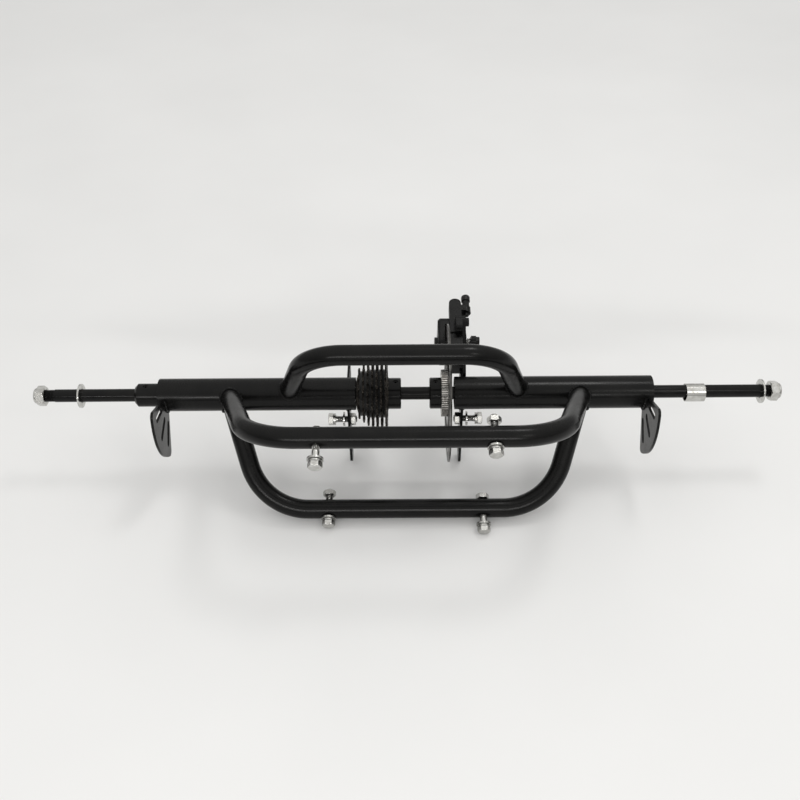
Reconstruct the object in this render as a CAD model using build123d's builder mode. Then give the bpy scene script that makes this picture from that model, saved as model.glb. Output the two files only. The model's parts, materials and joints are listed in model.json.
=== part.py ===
from build123d import *
import math
import os

# Rear axle assembly of a pedal kart, in millimetres.
# Origin: on the axle's axis, midway between the two axle tubes.
# X runs along the axle with the brake on its +X side, +Z is up and -Y is forward.

# --- Driving dimensions: frame ---
TUBE_OUTER = 38.0
TUBE_WALL = 2.0
TUBE_INNER_END = 57.0
TUBE_OUTER_END = 284.0
HOOP_OUTER = 22.0
HOOP_WALL = 2.0
PLATE_INNER_FACE = 64.5
PLATE_THICKNESS = 3.0
PLATE_ARM_WIDTH = 22.0
PLATE_ARM_SHIFT = -1.0
PLATE_GUSSET = 40.0
PLATE_HOLE = 10.2
PLATE_BOLT_Z = -40.0
PLATE_FREE_HOLE_Z = -90.0
LEFT_PLATE_BOTTOM = -107.5
LEFT_PLATE_REAR = 45.0
RIGHT_PLATE_BOTTOM = -110.0
RIGHT_PLATE_REAR = 38.0
TAB_CENTRE = 276.8
TAB_THICKNESS = 3.0
TAB_RADIUS = 72.0
TAB_HALF_ANGLE = 42.6
TAB_CORNER = 6.0
SLOT_WIDTH = 8.0
SLOT_INNER = 30.0
SLOT_OUTER = 60.0
SLOT_ANGLE = 30.0

# Angles in the YZ plane are measured from -Y, upwards positive.
MOUNT_ANGLE = -16.6
UPPER_ANGLE = 62.9
MIDDLE_ANGLE = 27.0
LOWER_ANGLE = -45.8
# Each hoop: distance of its crossbar from the axle, half width at the axle, half width at the corner,
# bend radius, and shift of its middle to the right.
UPPER_HOOP = (115.8, 134.5, 103.1, 52.0, -2.0)
MIDDLE_HOOP = (162.4, 204.6, 158.4, 66.0, 0.0)
LOWER_HOOP = (133.4, 204.6, 165.3, 71.0, 0.0)

# --- Driving dimensions: hoop bolts ---
HOOP_BOLT = 8.0
HOOP_BOLT_LENGTH = 40.0
HOOP_BOLT_HALF_SPACING = 89.0
HOOP_BOLT_HOLE = 10.0
M8_FLATS = 13.0
M8_HEAD = 6.0
M8_NUT = 6.0
FLAT_WASHER = 2.0
SPRING_WASHER = 2.5
M8_FLAT_OUTER = 17.0
M8_SPRING_OUTER = 14.0
M8_WASHER_BORE = 8.4
M8_SPRING_GAP = 1.5
DROPOUT_BOLT_TIP = 57.0
DROPOUT_BOLT_LENGTH = 28.0
PLATE_WASHER_GAP = 4.0
# Each hoop bolt: its hoop's angle and reach, its side, and how far its head and its nut are from the
# crossbar's middle.
PUSHED_HEAD = HOOP_OUTER / 2 + FLAT_WASHER + SPRING_WASHER
HOOP_BOLTS = (
    (MIDDLE_ANGLE, MIDDLE_HOOP[0], -1, 27.6, None),
    (MIDDLE_ANGLE, MIDDLE_HOOP[0], 1, PUSHED_HEAD, 15.5),
    (LOWER_ANGLE, LOWER_HOOP[0], -1, PUSHED_HEAD, 16.5),
    (LOWER_ANGLE, LOWER_HOOP[0], 1, 24.0, HOOP_OUTER / 2),
)

# --- Driving dimensions: bearings and axle ---
AXLE = 15.0
AXLE_LEFT_END = -430.0
AXLE_RIGHT_END = 434.0
THREAD = 14.0
LEFT_THREAD_START = -406.6
RIGHT_THREAD_START = 413.4
AXLE_CHAMFER = 1.2
AXLE_STEP_CHAMFER = 0.49
HANG_GAP = 0.03
BEARING_OUTER = 35.0
BEARING_WIDTH = 11.0
BEARING_RECESS = 1.0
BALL = 5.95
BALL_CIRCLE = 25.0
BALL_COUNT = 8
INNER_RACE_SHOULDER = 21.6
OUTER_RACE_SHOULDER = 29.3
RUNNING_GAP = 0.1
CAGE_WIDTH = 8.0
CAGE_THICKNESS = 1.0
RACE_CHAMFER = 0.4
SEAL_THICKNESS = 0.8
SEAL_RECESS = 0.4
AXLE_NUT_FLATS = 21.0
LEFT_NUT_SEAT = -416.8
RIGHT_NUT_SEAT = 420.8
LEFT_WASHER_START = -377.2
RIGHT_WASHER_START = 411.0
AXLE_NUT_THICKNESS = 12.8
NUT_COLLAR = 3.2
NUT_COLLAR_OUTER = 18.0
NUT_COLLAR_ROUND = 1.6
WASHER_OUTER = 28.0
WASHER_INNER = 16.0
WASHER_THICKNESS = 1.9
SLEEVE_OUTER = 21.0
SLEEVE_INNER = 19.0
SLEEVE_START = 324.5
SLEEVE_END = 346.0
COLLAR_OUTER = 27.0
COLLAR_START = -311.8
COLLAR_GAP = 1.0
COLLAR_CHAMFER = 3.0
COLLAR_SPIGOT = 20.0
COLLAR_SCREW_X = -299.0
SET_SCREW = 6.0
SET_SCREW_DEPTH = 1.0
HUB_OUTER = 36.2
HUB_CHAMFER = 1.0
SPROCKET_HUB_START = -19.2
SPROCKET_HUB_END = -4.7
SPROCKET_HUB_SCREW_X = -11.0
HUB_THREAD_LENGTH = 12.0
DISC_HUB_START = 28.2
DISC_HUB_END = 41.6
DISC_HUB_SCREW_X = 35.0
DISC_HUB_BOSS = 30.0

# --- Driving dimensions: freewheel ---
CHAIN_PITCH = 12.7
ROLLER = 7.9
TOOTH_HEIGHT = 3.1
TOOTH_GAP_DEPTH = 5.0
TOOTH_GAP_FLARE = 1.6
SPROCKET_TEETH = (13, 15, 17, 19, 21, 23, 26)
SPROCKET_FIRST = -53.0
SPROCKET_PITCH = 5.25
SPROCKET_THICKNESS = 1.9
SHELL_OUTER = 49.6
SHELL_NOSE = 41.6
HUB_THREAD = 34.9
SHELL_FLANGE = 0.7
SHELL_FLANGE_OUTER = 54.6
SHELL_BORE = 38.8
SHELL_CAVITY = 44.4
SHELL_LIP = 1.5
CORE_OUTER = 37.8
CORE_BORE = 24.0
CORE_STANDOUT = 0.8
CORE_SPLINE = (2.0, 1.6)
CORE_SPLINE_COUNT = 20
CORE_SPLINE_LENGTH = 8.0
PAWL_START = -42.0
PAWL_LENGTH = 12.0
PAWL_WIDTH = 8.0
PAWL_HEIGHT = 2.4
PAWL_THICKNESS = 1.7
RATCHET_INNER = 42.4
RATCHET_TEETH = 20
RATCHET_NOTCH = (1.4, 1.8)
FREEWHEEL_BALLS = 30
BALL_ROW_INSET = 3.2
SPROCKET_WINDOWED = 40.0
WINDOW_SIZE = (12.0, 7.0)
WINDOW_COUNT = 8
SPACER_SMALL = 52.0
SPACER_LARGE = 56.0

# --- Driving dimensions: disc brake ---
DISC_OUTER = 160.0
DISC_FACE = 48.8
DISC_THICKNESS = 1.8
DISC_TRACK_INNER = 128.0
DISC_BOLT_CIRCLE = 44.0
DISC_BOLT_COUNT = 6
DISC_BOLT = 5.0
DISC_BOLT_HEAD = 9.0
DISC_BOLT_HEAD_HEIGHT = 2.4
DISC_BOLT_LENGTH = 8.0
DISC_BOLT_SOCKET = 3.8
DISC_BOLT_SOCKET_DEPTH = 1.4
DISC_SPOKE_LENGTH = 46.0
DISC_SPOKE_WIDTH = 7.0
DISC_SPOKE_SLANT = 28.0
DISC_HOLES = 36
DISC_HOLE_LENGTH = 10.0
DISC_HOLE_WIDTH = 3.6
DISC_HOLE_SLANT = 45.0
CARRIER_OUTER = 54.6
CARRIER_TEETH = 66
CARRIER_GROOVE = 1.2
CALIPER_RADIUS = 66.0
CALIPER_INNER_FACE = 39.2
CALIPER_OUTER_FACE = 73.0
CALIPER_CORNER = 7.0
CALIPER_CHAMFER = 2.5
# Extents of the caliper's two halves: out from the axle, then round the disc.
INNER_HALF = (50.0, 90.0, -24.0, 27.0)
OUTER_HALF = (40.0, 90.0, -27.0, 27.0)
FLANGE_THICKNESS = 7.5
FLANGE_SIZE = 22.0
FLANGE_INSET = 4.0
DISC_CLEARANCE = 3.0
DISC_GAP = 1.3
PAD_OFFSET = 3.0
PAD_GAP = 0.15
PAD_TRAVEL = 0.4
PAD_CORNER = 5.0
PAD_POCKET_GAP = 0.3
LINING = 2.4
LINING_SIZE = (20.0, 28.0)
BACKING = 2.0
BACKING_SIZE = (24.0, 34.0)
PISTON = 22.0
CAM_GAP = 0.2
CAM_SHAFT = 10.0
CALIPER_COVER = 2.0
BARREL = 34.0
BRACKET_THICKNESS = 4.0
BRACKET_ROOT = 14.0
BRACKET_ROOT_PLACE = (34.0, -8.0)
LUG_RADIUS = 78.0
LUG_OFFSET = 31.0
LUG_ROUND = 8.0
CALIPER_BOLT = 6.0
CALIPER_BOLT_FLATS = 10.0
CALIPER_BOLT_HEAD = 4.0
ARM_THICKNESS = 4.0
ARM_OUTER_FACE = 82.0
ARM_EYE = 18.0
ARM_TIP = 12.0
ARM_NUT_FLATS = 12.0
ARM_NUT = 5.0
CLAMP_PLACE = (59.0, 20.0)
CLAMP_BOLT = 5.0
CLAMP_FLATS = 9.0
CLAMP_NUT = 4.0
CLAMP_WASHER = 1.5
CLAMP_TAIL = 1.5
ADJUSTER_KNOB = 20.0
ADJUSTER_KNOB_HEIGHT = 3.6
ADJUSTER_SOCKET = 6.0
CABLE_OFFSET = 22.0
CABLE_X = 73.5
CABLE_POST_X = 60.2
CABLE_POST_WIDTH = 14.4
CABLE_POST_TIP = 113.8
CABLE_BRIDGE = 8.0
CABLE_BRIDGE_INSET = 12.8
CABLE_BOSS = 11.0
CABLE_BOSS_LENGTH = 8.0
CABLE_BOSS_START = 97.0
BARREL_START = 93.5
BARREL_THREAD = 6.0
BARREL_THREAD_LENGTH = 16.0
BARREL_NECK_START = 13.0
BARREL_NECK = 8.0
BARREL_NECK_OUTER = 8.4
BARREL_GRIP = 8.0
BARREL_HEAD = 10.5
BARREL_KNURL = 1.2
BARREL_KNURL_COUNT = 14
CABLE_BORE = 2.2
SPRING_WIRE = 1.2
SPRING_RADIUS = 8.0
SPRING_GAP = 0.2

os.makedirs("parts", exist_ok=True)


def direction(angle):
    """Unit vector in the YZ plane at an angle from -Y."""
    turn = math.radians(angle)
    return Vector(0, -math.cos(turn), math.sin(turn))


def across(x):
    """Plane across the axle at x: local x is +Y, local y is +Z, and its normal is +X."""
    return Plane.YZ.offset(x)


def radial(x, angle):
    """Plane across the axle at x whose local x points outwards along the given angle."""
    return Plane(origin=(x, 0, 0), x_dir=direction(angle), z_dir=(1, 0, 0))


def caliper_plane(x):
    """Plane across the axle at x: local x runs out towards the caliper, local y runs round the disc."""
    return radial(x, MOUNT_ANGLE + 180)


def ring(x_start, x_end, outer, inner):
    """Straight ring round the axle between two X positions."""
    with BuildPart() as piece:
        with BuildSketch(across(x_start)):
            Circle(outer / 2)
            if inner:
                Circle(inner / 2, mode=Mode.SUBTRACT)
        extrude(amount=x_end - x_start)
    return piece.part


def hex_prism(plane, flats, height, both_ends=False):
    """Hexagon standing on the plane, its corners turned to a 30 degree bevel at the far end or at both."""
    standing = (Align.CENTER, Align.CENTER, Align.MIN)
    face_radius = 0.475 * flats
    wide_radius = face_radius + height * math.sqrt(3)
    with BuildPart(plane) as piece:
        with BuildSketch(plane):
            RegularPolygon(flats / 2, 6, major_radius=False)
        extrude(amount=height)
        Cone(wide_radius, face_radius, height, align=standing, mode=Mode.INTERSECT)
        if both_ends:
            Cone(face_radius, wide_radius, height, align=standing, mode=Mode.INTERSECT)
    return piece.part


def hex_bolt(seat, diameter, length, flats, head):
    """Hexagon-head bolt: the head stands on the seat plane, and the shank runs back from it."""
    head_shape = hex_prism(seat, flats, head)
    with BuildPart() as bolt:
        add(head_shape)
        with BuildSketch(seat):
            Circle(diameter / 2)
        extrude(amount=-length)
        chamfer(bolt.edges().group_by(Axis(seat.origin, seat.z_dir))[0], 0.08 * diameter)
    return bolt.part


def hex_nut(seat, flats, thickness, bore):
    """Hexagon nut standing on the seat plane."""
    outline = hex_prism(seat, flats, thickness, both_ends=True)
    with BuildPart() as nut:
        add(outline)
        with BuildSketch(seat):
            Circle(bore / 2)
        extrude(amount=thickness, mode=Mode.SUBTRACT)
    return nut.part


def washer(seat, outer, inner, thickness, gap=0):
    """Washer standing on the seat plane, split by a gap when it's a spring washer."""
    with BuildPart() as piece:
        with BuildSketch(seat):
            Circle(outer / 2)
            Circle(inner / 2, mode=Mode.SUBTRACT)
            if gap:
                with Locations((outer / 2, 0)):
                    Rectangle(outer, gap, mode=Mode.SUBTRACT)
        extrude(amount=thickness)
    return piece.part


def flat_washer(seat):
    """Flat M8 washer standing on the seat plane."""
    return washer(seat, M8_FLAT_OUTER, M8_WASHER_BORE, FLAT_WASHER)


def spring_washer(seat):
    """Split M8 washer standing on the seat plane."""
    return washer(seat, M8_SPRING_OUTER, M8_WASHER_BORE, SPRING_WASHER, M8_SPRING_GAP)


def save(builder, name):
    """Labels a finished piece and writes it as STEP."""
    builder.part.label = name
    export_step(builder.part, f"parts/{name}.step")


def save_group(pieces, name, mirrored=False):
    """Saves pieces under one name as separate solids, with their mirror images across the middle if asked."""
    with BuildPart() as group:
        add(pieces)
        if mirrored:
            mirror(pieces, about=Plane.YZ)
    save(group, name)


# --- Axle tubes ---
tube_inner = TUBE_OUTER - 2 * TUBE_WALL
seat_depth = BEARING_WIDTH + BEARING_RECESS

plain_tube = ring(TUBE_INNER_END, TUBE_OUTER_END, TUBE_OUTER, tube_inner)

with BuildPart() as right_axle_tube:
    add(plain_tube)
    for seat_start in (TUBE_INNER_END, TUBE_OUTER_END - seat_depth):
        with BuildSketch(across(seat_start)):
            Circle(BEARING_OUTER / 2)
        extrude(amount=seat_depth, mode=Mode.SUBTRACT)
    chamfer(right_axle_tube.edges().filter_by(GeomType.CIRCLE).sort_by(Axis.X)[-1], 0.5)
save(right_axle_tube, "right_axle_tube")

with BuildPart() as left_axle_tube:
    mirror(right_axle_tube.part, about=Plane.YZ)
save(left_axle_tube, "left_axle_tube")


# --- Hoops ---
def hoop_bolt_seat(height, side, distance):
    """Plane across a hoop bolt, facing its head, at a distance from the axle along the mount direction."""
    facing = direction(MOUNT_ANGLE)
    upwards = direction(MOUNT_ANGLE + 90)
    origin = facing * distance + upwards * height + Vector(side * HOOP_BOLT_HALF_SPACING, 0, 0)
    return Plane(origin=origin, x_dir=(1, 0, 0), z_dir=facing)


def hoop_bolt_place(angle, reach):
    """Height and distance of a hoop's crossbar in the mount frame."""
    turn = math.radians(angle - MOUNT_ANGLE)
    return reach * math.sin(turn), reach * math.cos(turn)


def hoop(angle, size, drilled):
    """Bent tube: two legs from the axle tube, splayed inwards, and a crossbar, coped to the axle tube."""
    reach, root, corner, bend, shift = size
    out = direction(angle)
    flat = Plane(origin=(0, 0, 0), x_dir=(1, 0, 0), z_dir=Vector(1, 0, 0).cross(out))
    with BuildPart() as bent:
        with BuildLine(flat) as path:
            corners = [(shift + x, y) for x, y in ((-root, 0), (-corner, reach), (corner, reach), (root, 0))]
            FilletPolyline(*corners, radius=bend)
        with BuildSketch(Plane(origin=path.line @ 0, z_dir=path.line % 0)):
            Circle(HOOP_OUTER / 2)
            Circle(HOOP_OUTER / 2 - HOOP_WALL, mode=Mode.SUBTRACT)
        sweep(path=path.line)
        Cylinder(TUBE_OUTER / 2, 3 * root, rotation=(0, 90, 0), mode=Mode.SUBTRACT)
        if drilled:
            height, distance = hoop_bolt_place(angle, reach)
            for side in (-1, 1):
                with BuildSketch(hoop_bolt_seat(height, side, distance)):
                    Circle(HOOP_BOLT_HOLE / 2)
                extrude(amount=HOOP_OUTER, both=True, mode=Mode.SUBTRACT)
    return bent.part


save_group([hoop(UPPER_ANGLE, UPPER_HOOP, drilled=False)], "upper_hoop")
save_group([hoop(MIDDLE_ANGLE, MIDDLE_HOOP, drilled=True)], "middle_hoop")
save_group([hoop(LOWER_ANGLE, LOWER_HOOP, drilled=True)], "lower_hoop")

# --- Dropout plates: notched round the back of the tubes, so that no part of them shows in front ---
plate_outer_face = PLATE_INNER_FACE + PLATE_THICKNESS
arm_round = PLATE_ARM_WIDTH / 2


def dropout_plate(bottom, rear, rear_hole):
    """Right-hand plate: one arm down to bottom, one arm back to rear and a gusset between them."""
    arm_back = PLATE_ARM_SHIFT + arm_round
    holes = [(PLATE_ARM_SHIFT, PLATE_BOLT_Z), (PLATE_ARM_SHIFT, PLATE_FREE_HOLE_Z)]
    if rear_hole:
        holes.append((rear - arm_round, 0))
    with BuildPart() as plate:
        with BuildSketch(across(PLATE_INNER_FACE)):
            with Locations((PLATE_ARM_SHIFT, (bottom + arm_round) / 2)):
                SlotOverall(arm_round - bottom, PLATE_ARM_WIDTH, rotation=90)
            with Locations(((rear - arm_round) / 2, 0)):
                SlotOverall(rear + arm_round, PLATE_ARM_WIDTH)
            Polygon((0, 0), (arm_back, -PLATE_GUSSET), (rear - arm_round, -arm_round), align=None)
            Circle(TUBE_OUTER / 2, mode=Mode.SUBTRACT)
            with Locations(holes):
                Circle(PLATE_HOLE / 2, mode=Mode.SUBTRACT)
        extrude(amount=PLATE_THICKNESS)
    return plate.part


right_plate = dropout_plate(RIGHT_PLATE_BOTTOM, RIGHT_PLATE_REAR, rear_hole=False)
left_plate = mirror(dropout_plate(LEFT_PLATE_BOTTOM, LEFT_PLATE_REAR, rear_hole=True), about=Plane.YZ)
save_group([right_plate], "right_dropout_plate")
save_group([left_plate], "left_dropout_plate")

# --- Slotted end tabs ---
tab_start = TAB_CENTRE - TAB_THICKNESS / 2
edge_x = TAB_RADIUS * math.cos(math.radians(TAB_HALF_ANGLE))
edge_y = TAB_RADIUS * math.sin(math.radians(TAB_HALF_ANGLE))

with BuildPart() as right_end_tab:
    with BuildSketch(radial(tab_start, MOUNT_ANGLE)) as sector:
        with BuildLine():
            Polyline((edge_x, -edge_y), (0, 0), (edge_x, edge_y))
            ThreePointArc((edge_x, edge_y), (TAB_RADIUS, 0), (edge_x, -edge_y))
        make_face()
        fillet(sector.vertices().sort_by_distance((0, 0))[-2:], TAB_CORNER)
        Circle(TUBE_OUTER / 2, mode=Mode.SUBTRACT)
        with PolarLocations((SLOT_INNER + SLOT_OUTER) / 2, 3, -SLOT_ANGLE, 3 * SLOT_ANGLE):
            SlotOverall(SLOT_OUTER - SLOT_INNER, SLOT_WIDTH, mode=Mode.SUBTRACT)
    extrude(amount=TAB_THICKNESS)
save(right_end_tab, "right_end_tab")

with BuildPart() as left_end_tab:
    mirror(right_end_tab.part, about=Plane.YZ)
save(left_end_tab, "left_end_tab")

# --- Hoop bolts: two are pushed home, two stand out towards the head, and one of those has no nut ---
bolts = []
spring_washers = []
flat_washers = []
nuts = []
for hoop_angle, reach, side, head_seat, nut_seat in HOOP_BOLTS:
    height, crossbar = hoop_bolt_place(hoop_angle, reach)
    head_plane = hoop_bolt_seat(height, side, crossbar + head_seat)
    flat_plane = head_plane.offset(-SPRING_WASHER - FLAT_WASHER)
    bolts.append(hex_bolt(head_plane, HOOP_BOLT, HOOP_BOLT_LENGTH, M8_FLATS, M8_HEAD))
    spring_washers.append(spring_washer(head_plane.offset(-SPRING_WASHER)))
    flat_washers.append(flat_washer(flat_plane))
    if nut_seat:
        nut_plane = hoop_bolt_seat(height, side, crossbar - nut_seat - M8_NUT)
        nuts.append(hex_nut(nut_plane, M8_FLATS, M8_NUT, HOOP_BOLT))
save_group(bolts, "hoop_bolts")
save_group(spring_washers, "hoop_spring_washers")
save_group(flat_washers, "hoop_flat_washers")
save_group(nuts, "hoop_nuts")

# --- Dropout bolts: loose in their plates, heads outboard, nuts inboard ---
bolt_centre = Vector(0, PLATE_ARM_SHIFT, PLATE_BOLT_Z)


def dropout_plane(x):
    """Plane on the right dropout bolt's axis, facing outboard."""
    return Plane(origin=bolt_centre + Vector(x, 0, 0), x_dir=(0, 1, 0), z_dir=(1, 0, 0))


head_x = DROPOUT_BOLT_TIP + DROPOUT_BOLT_LENGTH
dropout_bolt = hex_bolt(dropout_plane(head_x), HOOP_BOLT, DROPOUT_BOLT_LENGTH, M8_FLATS, M8_HEAD)
save_group([dropout_bolt], "dropout_bolts", mirrored=True)

plate_washer = flat_washer(dropout_plane(plate_outer_face + PLATE_WASHER_GAP))
head_washer = spring_washer(dropout_plane(head_x - SPRING_WASHER))
save_group([plate_washer, head_washer], "dropout_washers", mirrored=True)

dropout_nut = hex_nut(dropout_plane(PLATE_INNER_FACE - M8_NUT), M8_FLATS, M8_NUT, HOOP_BOLT)
save_group([dropout_nut], "dropout_nuts", mirrored=True)

# --- Bearings: one at each end of each tube ---
inner_bearing = TUBE_INNER_END + BEARING_RECESS
outer_bearing = TUBE_OUTER_END - seat_depth
bearing_starts = (inner_bearing, outer_bearing)
groove = BALL / 2 + RUNNING_GAP


def race(start, outer, inner):
    """Bearing race with a ball groove turned in its wall."""
    middle = start + BEARING_WIDTH / 2
    blank = ring(start, start + BEARING_WIDTH, outer, inner)
    with BuildPart() as piece:
        add(blank)
        with BuildSketch(Plane.XZ):
            with Locations((middle, BALL_CIRCLE / 2)):
                Circle(groove)
        revolve(axis=Axis.X, mode=Mode.SUBTRACT)
        chamfer(piece.edges().filter_by(GeomType.CIRCLE).group_by(Axis.X)[0], RACE_CHAMFER)
        chamfer(piece.edges().filter_by(GeomType.CIRCLE).group_by(Axis.X)[-1], RACE_CHAMFER)
    return piece.part


def balls(middle, circle, diameter, count):
    """Ring of balls round the axle."""
    with BuildPart(across(middle)) as piece:
        with PolarLocations(circle / 2, count):
            Sphere(diameter / 2)
    return piece.part


def cage(start):
    """Ball cage: a thin ring with a pocket for each ball."""
    middle = start + BEARING_WIDTH / 2
    sizes = (BALL_CIRCLE + CAGE_THICKNESS, BALL_CIRCLE - CAGE_THICKNESS)
    blank = ring(middle - CAGE_WIDTH / 2, middle + CAGE_WIDTH / 2, *sizes)
    with BuildPart(across(middle)) as pockets:
        with PolarLocations(BALL_CIRCLE / 2, BALL_COUNT):
            Cylinder(BALL / 2 + RUNNING_GAP, BALL, rotation=(0, 90, 0))
    with BuildPart() as piece:
        add(blank)
        add(pockets.part, mode=Mode.SUBTRACT)
    return piece.part


outer_races = [race(start, BEARING_OUTER, OUTER_RACE_SHOULDER) for start in bearing_starts]
inner_races = [race(start, INNER_RACE_SHOULDER, AXLE) for start in bearing_starts]
bearing_balls = [balls(start + BEARING_WIDTH / 2, BALL_CIRCLE, BALL, BALL_COUNT) for start in bearing_starts]
cages = [cage(start) for start in bearing_starts]
seals = []
for start in bearing_starts:
    for seal_start in (start + SEAL_RECESS, start + BEARING_WIDTH - SEAL_RECESS - SEAL_THICKNESS):
        seal_inner = INNER_RACE_SHOULDER + 2 * RUNNING_GAP
        seals.append(ring(seal_start, seal_start + SEAL_THICKNESS, OUTER_RACE_SHOULDER, seal_inner))
save_group(outer_races, "bearing_outer_races", mirrored=True)
save_group(inner_races, "bearing_inner_races", mirrored=True)
save_group(bearing_balls, "bearing_balls", mirrored=True)
save_group(cages, "bearing_cages", mirrored=True)
save_group(seals, "bearing_seals", mirrored=True)

# --- Axle, its nuts, washers, collar and loose spacer sleeve ---
with BuildPart() as axle:
    with BuildSketch(across(LEFT_THREAD_START)):
        Circle(AXLE / 2)
    extrude(amount=RIGHT_THREAD_START - LEFT_THREAD_START)
    chamfer(axle.edges(), AXLE_STEP_CHAMFER)
    with BuildSketch(across(AXLE_LEFT_END)):
        Circle(THREAD / 2)
    extrude(amount=AXLE_RIGHT_END - AXLE_LEFT_END)
    chamfer(axle.edges().sort_by(Axis.X)[0], AXLE_CHAMFER)
    chamfer(axle.edges().sort_by(Axis.X)[-1], AXLE_CHAMFER)
save(axle, "axle")


def lock_nut(x, side, angle):
    """Axle nut: a hexagon standing on its seat at x, with a rounded collar on its outboard end."""
    seat = Plane(origin=(x, 0, 0), x_dir=direction(angle), z_dir=(side, 0, 0))
    hexagon = hex_prism(seat, AXLE_NUT_FLATS, AXLE_NUT_THICKNESS - NUT_COLLAR, both_ends=True)
    with BuildPart() as nut:
        add(hexagon)
        with BuildSketch(seat.offset(AXLE_NUT_THICKNESS - NUT_COLLAR)):
            Circle(NUT_COLLAR_OUTER / 2)
        extrude(amount=NUT_COLLAR)
        fillet(nut.edges().group_by(Axis(seat.origin, seat.z_dir))[-1], NUT_COLLAR_ROUND)
        with BuildSketch(seat):
            Circle(THREAD / 2)
        extrude(amount=AXLE_NUT_THICKNESS, mode=Mode.SUBTRACT)
    return nut.part


left_nut = lock_nut(LEFT_NUT_SEAT, -1, 0)
right_nut = lock_nut(RIGHT_NUT_SEAT, 1, 30)
save_group([left_nut, right_nut], "axle_nuts")

hang = (WASHER_INNER - AXLE) / 2 - HANG_GAP


def hanging_washer(start):
    """Axle washer that hangs from the top of the axle."""
    return Pos(0, 0, -hang) * ring(start, start + WASHER_THICKNESS, WASHER_OUTER, WASHER_INNER)


save_group([hanging_washer(LEFT_WASHER_START)], "left_washer")
save_group([hanging_washer(RIGHT_WASHER_START)], "right_washer")

sleeve_hang = (SLEEVE_INNER - AXLE) / 2 - HANG_GAP
sleeve = Pos(0, 0, -sleeve_hang) * ring(SLEEVE_START, SLEEVE_END, SLEEVE_OUTER, SLEEVE_INNER)
save_group([sleeve], "spacer_sleeve")


def set_screw(x, length):
    """Set screw above the axle at x, reaching from the axle's surface upwards."""
    seat = Plane(origin=(x, 0, AXLE / 2), x_dir=(1, 0, 0), z_dir=(0, 0, 1))
    with BuildPart() as screw:
        with BuildSketch(seat):
            Circle(SET_SCREW / 2)
        extrude(amount=length)
        with BuildSketch(seat.offset(length)):
            RegularPolygon(SET_SCREW / 4, 6)
        extrude(amount=-SET_SCREW / 2, mode=Mode.SUBTRACT)
    return screw.part


def set_screw_hole(x):
    """Radial hole for a set screw, from inside the bore to beyond any collar."""
    seat = Plane(origin=(x, 0, 0), x_dir=(1, 0, 0), z_dir=(0, 0, 1))
    with BuildPart() as hole:
        with BuildSketch(seat):
            Circle(SET_SCREW / 2)
        extrude(amount=COLLAR_OUTER)
    return hole.part


collar_end = -TUBE_OUTER_END - COLLAR_GAP
collar_blank = ring(COLLAR_START, collar_end, COLLAR_OUTER, AXLE)
collar_spigot = ring(collar_end, -TUBE_OUTER_END + BEARING_RECESS, COLLAR_SPIGOT, AXLE)
collar_hole = set_screw_hole(COLLAR_SCREW_X)
with BuildPart() as left_collar:
    add(collar_blank)
    chamfer(left_collar.edges().group_by(Axis.X)[0].sort_by(SortBy.LENGTH)[-1], COLLAR_CHAMFER)
    add(collar_spigot)
    add(collar_hole, mode=Mode.SUBTRACT)
save(left_collar, "left_collar")

# --- Hubs on the middle of the axle ---
sprocket_hub_blank = ring(SPROCKET_HUB_START, SPROCKET_HUB_END, HUB_OUTER, AXLE)
sprocket_hub_thread = ring(SPROCKET_HUB_START - HUB_THREAD_LENGTH, SPROCKET_HUB_START, HUB_THREAD, AXLE)
sprocket_hub_hole = set_screw_hole(SPROCKET_HUB_SCREW_X)
with BuildPart() as sprocket_hub:
    add(sprocket_hub_blank)
    chamfer(sprocket_hub.edges().group_by(Axis.X)[-1].sort_by(SortBy.LENGTH)[-1], HUB_CHAMFER)
    add(sprocket_hub_thread)
    add(sprocket_hub_hole, mode=Mode.SUBTRACT)
save(sprocket_hub, "sprocket_hub")

disc_hub_blank = ring(DISC_HUB_START, DISC_HUB_END, HUB_OUTER, AXLE)
disc_hub_boss = ring(DISC_HUB_END, DISC_FACE, DISC_HUB_BOSS, AXLE)
disc_hub_hole = set_screw_hole(DISC_HUB_SCREW_X)
with BuildPart() as disc_hub:
    add(disc_hub_blank)
    chamfer(disc_hub.edges().group_by(Axis.X)[0].sort_by(SortBy.LENGTH)[-1], HUB_CHAMFER)
    add(disc_hub_boss)
    add(disc_hub_hole, mode=Mode.SUBTRACT)
save(disc_hub, "disc_hub")

screw_length = (HUB_OUTER - AXLE) / 2 - SET_SCREW_DEPTH
collar_screw = set_screw(COLLAR_SCREW_X, (COLLAR_OUTER - AXLE) / 2 - SET_SCREW_DEPTH)
hub_screws = [set_screw(x, screw_length) for x in (SPROCKET_HUB_SCREW_X, DISC_HUB_SCREW_X)]
save_group([collar_screw] + hub_screws, "collar_set_screws")

with BuildPart() as disc_carrier:
    with BuildSketch(across(DISC_HUB_END)):
        Circle(CARRIER_OUTER / 2)
        Circle(DISC_HUB_BOSS / 2, mode=Mode.SUBTRACT)
        with PolarLocations(CARRIER_OUTER / 2, CARRIER_TEETH):
            Rectangle(2 * CARRIER_GROOVE, CARRIER_GROOVE, mode=Mode.SUBTRACT)
        with PolarLocations(DISC_BOLT_CIRCLE / 2, DISC_BOLT_COUNT):
            Circle(DISC_BOLT / 2, mode=Mode.SUBTRACT)
    extrude(amount=DISC_FACE - DISC_HUB_END)
save(disc_carrier, "disc_carrier")

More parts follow.
